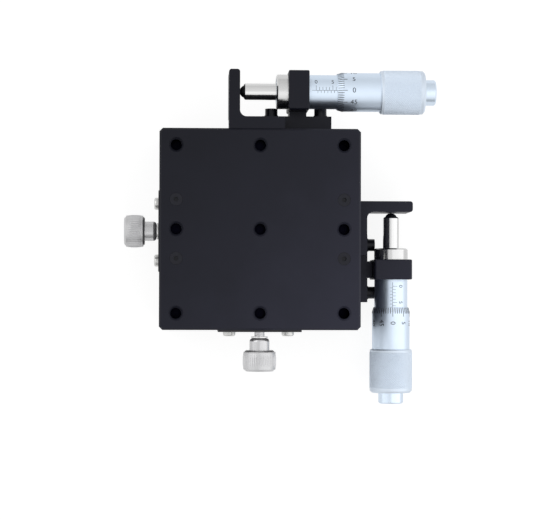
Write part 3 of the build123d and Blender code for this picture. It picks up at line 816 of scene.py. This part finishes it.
def thimble_marks(finish):
    """The fifty lines on the thimble's front edge, longer at the fives, with their numerals."""
    shoulder = THIMBLE_FRONT + THIMBLE_BEVEL
    meshes = []
    for start, end, columns in (
        (THIMBLE_FRONT + MARK_FRONT_GAP, shoulder, DIVISIONS),
        (shoulder, shoulder + SHORT_MARK_END, DIVISIONS),
        (shoulder + SHORT_MARK_END, shoulder + LONG_MARK_END, DIVISIONS // DIVISIONS_PER_NUMERAL),
    ):
        centre = (start + end) / 2
        radius = thimble_radius(centre)
        mesh = studs(
            centre, 0.0, finish, columns=columns, column_pitch=2 * math.pi * radius / columns,
            length=end - start, width=MARK_WIDTH, height=2 * MARK_DEPTH,
        )
        for vertex in mesh.vertices:
            vertex.co.z += thimble_radius(vertex.co.x) - radius
        meshes.append(wrapped(mesh, radius))
    for division in range(0, DIVISIONS, DIVISIONS_PER_NUMERAL):
        arc = 2 * math.pi * THIMBLE_RADIUS * division / DIVISIONS
        digits = numeral(str(division), NUMERAL_U, arc, NUMERAL_HEIGHT, finish)
        meshes.append(wrapped(digits, THIMBLE_RADIUS))
    return meshes


def sleeve_marks(finish):
    """The line along the sleeve with its half-millimetre marks and numerals."""
    line = studs(
        (SLEEVE_LINE_START + SLEEVE_LINE_END) / 2, 0.0, finish,
        length=SLEEVE_LINE_END - SLEEVE_LINE_START, width=SLEEVE_MARK_WIDTH, height=2 * MARK_DEPTH,
    )
    meshes = [line]
    for step in range(SLEEVE_MARKS):
        along = SLEEVE_ZERO + step * SLEEVE_HALF_MILLIMETRE
        whole = step % 2 == 0
        length = (FIFTH_MARK if step % 10 == 0 else WHOLE_MARK) if whole else HALF_MARK
        part = length / SLEEVE_MARK_PARTS
        start = part / 2 if whole else part / 2 - length
        meshes.append(
            studs(
                along, start, finish, columns=SLEEVE_MARK_PARTS, column_pitch=part,
                length=SLEEVE_MARK_WIDTH, width=part * SLEEVE_PART_OVERLAP, height=2 * MARK_DEPTH,
            )
        )
    for value in (0, 5):
        along = SLEEVE_ZERO + value
        meshes.append(numeral(str(value), along, SLEEVE_NUMERAL_ARC, SLEEVE_NUMERAL_HEIGHT, finish))
    return [wrapped(mesh, SLEEVE_RADIUS) for mesh in meshes]


def grip_knurl(finish):
    """Fine diamond knurl on the thimble's grip."""
    arc = 2 * math.pi * GRIP_RADIUS / GRIP_RIDGES
    start = GRIP_FRONT + GRIP_KNURL_FRONT_GAP
    rows = int((GRIP_END - GRIP_EDGE - GRIP_KNURL_END_GAP - start) / (arc / 2))
    side = arc * GRIP_RIDGE_SHARE
    mesh = studs(
        start, 0.0, finish, rows=rows, columns=GRIP_RIDGES, row_pitch=arc / 2, column_pitch=arc,
        stagger=0.5, length=side, width=side, height=GRIP_RIDGE_HEIGHT, top=GRIP_RIDGE_TOP,
        twist=math.pi / 4, sink=GRIP_RIDGE_SINK,
    )
    return wrapped(mesh, GRIP_RADIUS)


def knob_knurl(axis, finish):
    """Straight knurl on the lock knob, between its two chamfers and a little over each."""
    arc = 2 * math.pi * KNOB_RADIUS / KNOB_RIDGES
    start = LOCK_PLATE_FACE + LOCK_OPEN[axis] + NECK_END + KNOB_EDGE - KNOB_KNURL_OVERRUN
    length = KNOB_LENGTH - 2 * KNOB_EDGE + 2 * KNOB_KNURL_OVERRUN
    mesh = studs(
        start + length / 2, 0.0, finish, columns=KNOB_RIDGES, column_pitch=arc, length=length,
        width=arc * KNOB_RIDGE_SHARE, height=KNOB_RIDGE_HEIGHT, top=KNOB_RIDGE_TOP,
        sink=KNOB_RIDGE_SINK,
    )
    return wrapped(mesh, KNOB_RADIUS)


def shank_thread(axis, finish):
    """The lock screw's thread where it shows between the plate and the washer."""
    length = LOCK_OPEN[axis] + SHANK_THREAD_COVERED
    radius = SHANK_RADIUS - SHANK_RIDGE_SINK
    mesh = thread(finish, radius, SHANK_PITCH, length, SHANK_RIDGE_DEPTH)
    start = Matrix.Translation((LOCK_PLATE_FACE - SHANK_THREAD_COVERED, 0.0, 0.0))
    mesh.transform(start @ Matrix.Rotation(math.pi / 2, 4, "Y"))
    return mesh


# ---------------------------------------------------------------- return springs


def spring_eye(finish, side):
    """The hook at one end of the spring: from the last coil in to the axis, then round its pin."""
    pin = side * SPRING_PIN_U
    points = [
        (side * SPRING_BODY_END, 0.0, side * SPRING_COIL_RADIUS),
        (side * (SPRING_BODY_END + SPRING_LEAD), 0.0, side * SPRING_COIL_RADIUS * SPRING_LEAD_SHARE),
    ]
    for step in range(SPRING_EYE_STEPS):
        turn = math.pi + step * SPRING_EYE_STEP
        out = math.cos(turn) * SPRING_EYE_RADIUS
        over = math.sin(turn) * SPRING_EYE_RADIUS
        points.append((pin + side * out, over, 0.0) if side > 0 else (pin + side * out, 0.0, over))
    curve = bpy.data.curves.new("spring_eye", "CURVE")
    curve.dimensions = "3D"
    curve.bevel_depth = SPRING_WIRE_RADIUS
    curve.bevel_resolution = 2
    curve.use_fill_caps = True
    line = curve.splines.new("NURBS")
    line.points.add(len(points) - 1)
    for point, place in zip(line.points, points):
        point.co = (*place, 1.0)
    line.order_u = 3
    line.use_endpoint_u = True
    line.resolution_u = 3
    return with_finish(plain_mesh(linked("spring_eye", curve)), finish)


def return_spring(axis, stage):
    """A coiled tension spring between the two pins; the real one stretches as the stage travels, this
    one is built at one length.
    """
    finish = finishes["spring_steel"]
    length = 2 * SPRING_BODY_END
    coil = thread(
        finish, SPRING_COIL_RADIUS, length / SPRING_TURNS, length, SPRING_WIRE_RADIUS,
        flank=SPRING_WIRE_RADIUS, sides=8,
    )
    start = Matrix.Translation((-SPRING_BODY_END, 0.0, 0.0))
    coil.transform(start @ Matrix.Rotation(math.pi / 2, 4, "Y"))
    eyes = [spring_eye(finish, side) for side in (-1, 1)]
    place = stage @ Matrix.Translation((0.0, 0.0, SPRING_Z))
    spring = joined(f"{axis}_coil_spring", [coil, *eyes], place)
    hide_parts(f"{axis}_return_spring")
    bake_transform(spring)


for axis, stage in STAGES.items():
    return_spring(axis, stage)
    thimble_finish = finishes[f"satin_chrome_thimble_{axis}"]
    knurl = joined(f"{axis}_grip_knurl", [grip_knurl(thimble_finish)], stage @ HEAD_AXIS)
    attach(knurl, f"{axis}_thimble")
    knob_finish = finishes[f"knurled_knob_steel_{axis}"]
    knurl = joined(f"{axis}_knob_knurl", [knob_knurl(axis, knob_finish)], stage @ KNOB_AXIS)
    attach(knurl, f"{axis}_lock")
    ridge = joined(f"{axis}_lock_thread", [shank_thread(axis, knob_finish)], stage @ KNOB_AXIS)
    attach(ridge, f"{axis}_lock")
    scale = joined(f"{axis}_thimble_scale", thimble_marks(black_mark), stage @ HEAD_AXIS)
    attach(scale, f"{axis}_thimble")
    scale = joined(f"{axis}_sleeve_scale", sleeve_marks(black_mark), stage @ HEAD_AXIS)
    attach(scale, SLEEVE_BODY[axis])

ridges = thread(
    finishes["black_anodised_plate"], HOLE_RADIUS, THREAD_PITCH, THREAD_LENGTH, THREAD_DEPTH,
    across=HOLE_ROWS, spacing=HOLE_GRID,
)
tapped_from = Matrix.Translation((0.0, 0.0, TOP - HOLE_COUNTERSINK - THREAD_REACH))
threads = joined("table_threads", [ridges], MILLIMETRES @ tapped_from)
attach(threads, "table")

# ---------------------------------------------------------------- studio

# In metres, radians and watts; a lamp has its name, place, side and power
LAMP_AIM = (0.0, 0.0, 0.03)
LAMPS = (
    ("key", (0.62, -0.3, 0.62), 1.9, 4.4),
    ("fill", (-0.7, 0.5, 0.7), 0.8, 1.6),
)
FLOOR_REACH = 4.0
FLOOR_DROP = 0.0001
FLOOR_GREY = (0.3, 0.3, 0.3, 1.0)
FLOOR_SEEN = 0.86
FLOOR_MIRRORED = 0.75
SURROUND_LIGHT = 0.5
WALL_LIGHT = 0.78
CEILING_LIGHT = 0.18
SIDE_LIGHT = 0.42
SIDE_DIFFERENCE = 0.05
FRONT_SHADE = 0.35
CAMERA_PLACE = (-0.0200, -0.0190, 0.5812)
CAMERA_TURN = (0.0179, -0.0458, 0.0023)
SENSOR_WIDTH = 36.0
LENS_PER_WIDTH = 1838.4 / 554.0
CLIP_NEAR = 0.01
CLIP_FAR = 20.0


def ray_kinds(tree):
    """Masks of the rays from the camera, and of those that metal and clear parts send on."""
    path = tree.nodes.new("ShaderNodeLightPath")
    through = Value(tree, path.outputs["Is Transmission Ray"])
    mirrored = Value(tree, path.outputs["Is Glossy Ray"]).maths("MAXIMUM", through)
    return Value(tree, path.outputs["Is Camera Ray"]), mirrored


def white_floor():
    """A floor that keeps a soft shadow and looks white."""
    mesh = bpy.data.meshes.new("floor")
    r = FLOOR_REACH
    corners = [(x, y, -FLOOR_DROP) for x, y in ((-r, -r), (r, -r), (r, r), (-r, r))]
    mesh.from_pydata(corners, [], [(0, 1, 2, 3)])
    floor = linked("floor", mesh)
    material = bpy.data.materials.new("floor_paper")
    material.use_nodes = True
    tree = material.node_tree
    tree.nodes.clear()
    output = tree.nodes.new("ShaderNodeOutputMaterial")
    diffuse = tree.nodes.new("ShaderNodeBsdfDiffuse")
    diffuse.inputs["Color"].default_value = FLOOR_GREY
    glow = tree.nodes.new("ShaderNodeEmission")
    seen, mirrored = ray_kinds(tree)
    strength = seen * FLOOR_SEEN + mirrored * FLOOR_MIRRORED
    tree.links.new(strength.socket, glow.inputs["Strength"])
    both = tree.nodes.new("ShaderNodeAddShader")
    tree.links.new(diffuse.outputs[0], both.inputs[0])
    tree.links.new(glow.outputs[0], both.inputs[1])
    tree.links.new(both.outputs[0], output.inputs[0])
    mesh.materials.append(material)


def surround():
    """A white background; metal mirrors walls that are brighter to the sides than to the front."""
    world = bpy.data.worlds.new("studio")
    bpy.context.scene.world = world
    world.use_nodes = True
    tree = world.node_tree
    tree.nodes.clear()
    output = tree.nodes.new("ShaderNodeOutputWorld")
    background = tree.nodes.new("ShaderNodeBackground")
    background.inputs["Color"].default_value = (1.0, 1.0, 1.0, 1.0)
    seen, mirrored = ray_kinds(tree)
    way = tree.nodes.new("ShaderNodeTexCoord")
    split = tree.nodes.new("ShaderNodeSeparateXYZ")
    tree.links.new(way.outputs["Generated"], split.inputs[0])
    x, y, z = [Value(tree, part) for part in split.outputs]
    sides = x * x * SIDE_LIGHT - x * SIDE_DIFFERENCE
    front = (y < 0.0) * y * y * FRONT_SHADE
    walls = WALL_LIGHT + z * z * CEILING_LIGHT + sides - front
    strength = seen * (1.0 - SURROUND_LIGHT) + mirrored * (walls - SURROUND_LIGHT) + SURROUND_LIGHT
    tree.links.new(strength.socket, background.inputs["Strength"])
    tree.links.new(background.outputs[0], output.inputs["Surface"])


def lamps():
    """Two soft square lamps, aimed at the middle of the stage."""
    for name, place, side, power in LAMPS:
        lamp = bpy.data.lights.new(name, "AREA")
        lamp.shape = "SQUARE"
        lamp.size = side
        lamp.energy = power
        lit = linked(name, lamp)
        lit.location = place
        aim = Vector(LAMP_AIM) - Vector(place)
        lit.rotation_euler = aim.to_track_quat("-Z", "Y").to_euler()


def camera():
    """A long lens straight above the stage, a little to one side of its centre."""
    view = bpy.data.cameras.new("camera")
    view.sensor_width = SENSOR_WIDTH
    view.lens = SENSOR_WIDTH * LENS_PER_WIDTH
    view.clip_start = CLIP_NEAR
    view.clip_end = CLIP_FAR
    eye = linked("camera", view)
    eye.location = CAMERA_PLACE
    eye.rotation_euler = CAMERA_TURN
    bpy.context.scene.camera = eye


white_floor()
surround()
lamps()
camera()
bpy.context.scene.view_settings.view_transform = "Standard"
